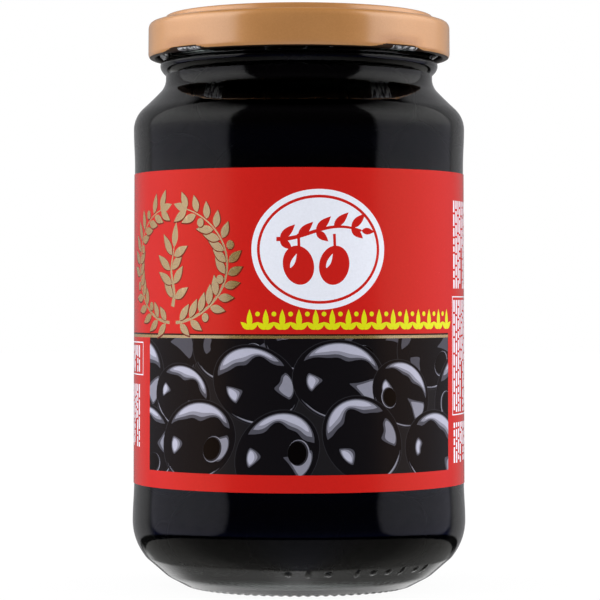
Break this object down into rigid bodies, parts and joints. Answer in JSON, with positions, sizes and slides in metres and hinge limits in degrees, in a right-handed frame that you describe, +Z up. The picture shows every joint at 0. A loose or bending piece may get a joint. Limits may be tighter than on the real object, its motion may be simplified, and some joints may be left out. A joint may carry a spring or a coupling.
{
  "type": "jar of black olives",
  "caption": "Closed round glass jar of black olives in brine, with a gold twist-off lid and a red paper label round its straight wall.",
  "frame": {"origin": "centre of the base, on the surface that the jar stands on", "axes": "+Z up along the jar's axis; the front of the label faces -Y"},
  "size_m": [0.0732, 0.0732, 0.1252],
  "materials": {
    "jar_glass": "smooth clear soda-lime glass",
    "lid": "copper-gold lacquer on tinplate, semi-gloss",
    "label": "coated printed paper, semi-gloss",
    "olives": "wet black olive skin"
  },
  "bodies": {
    "root": {"jar_glass": "jar_glass", "lid": "lid", "label": "label", "olives": "olives"}
  },
  "joints": []
}
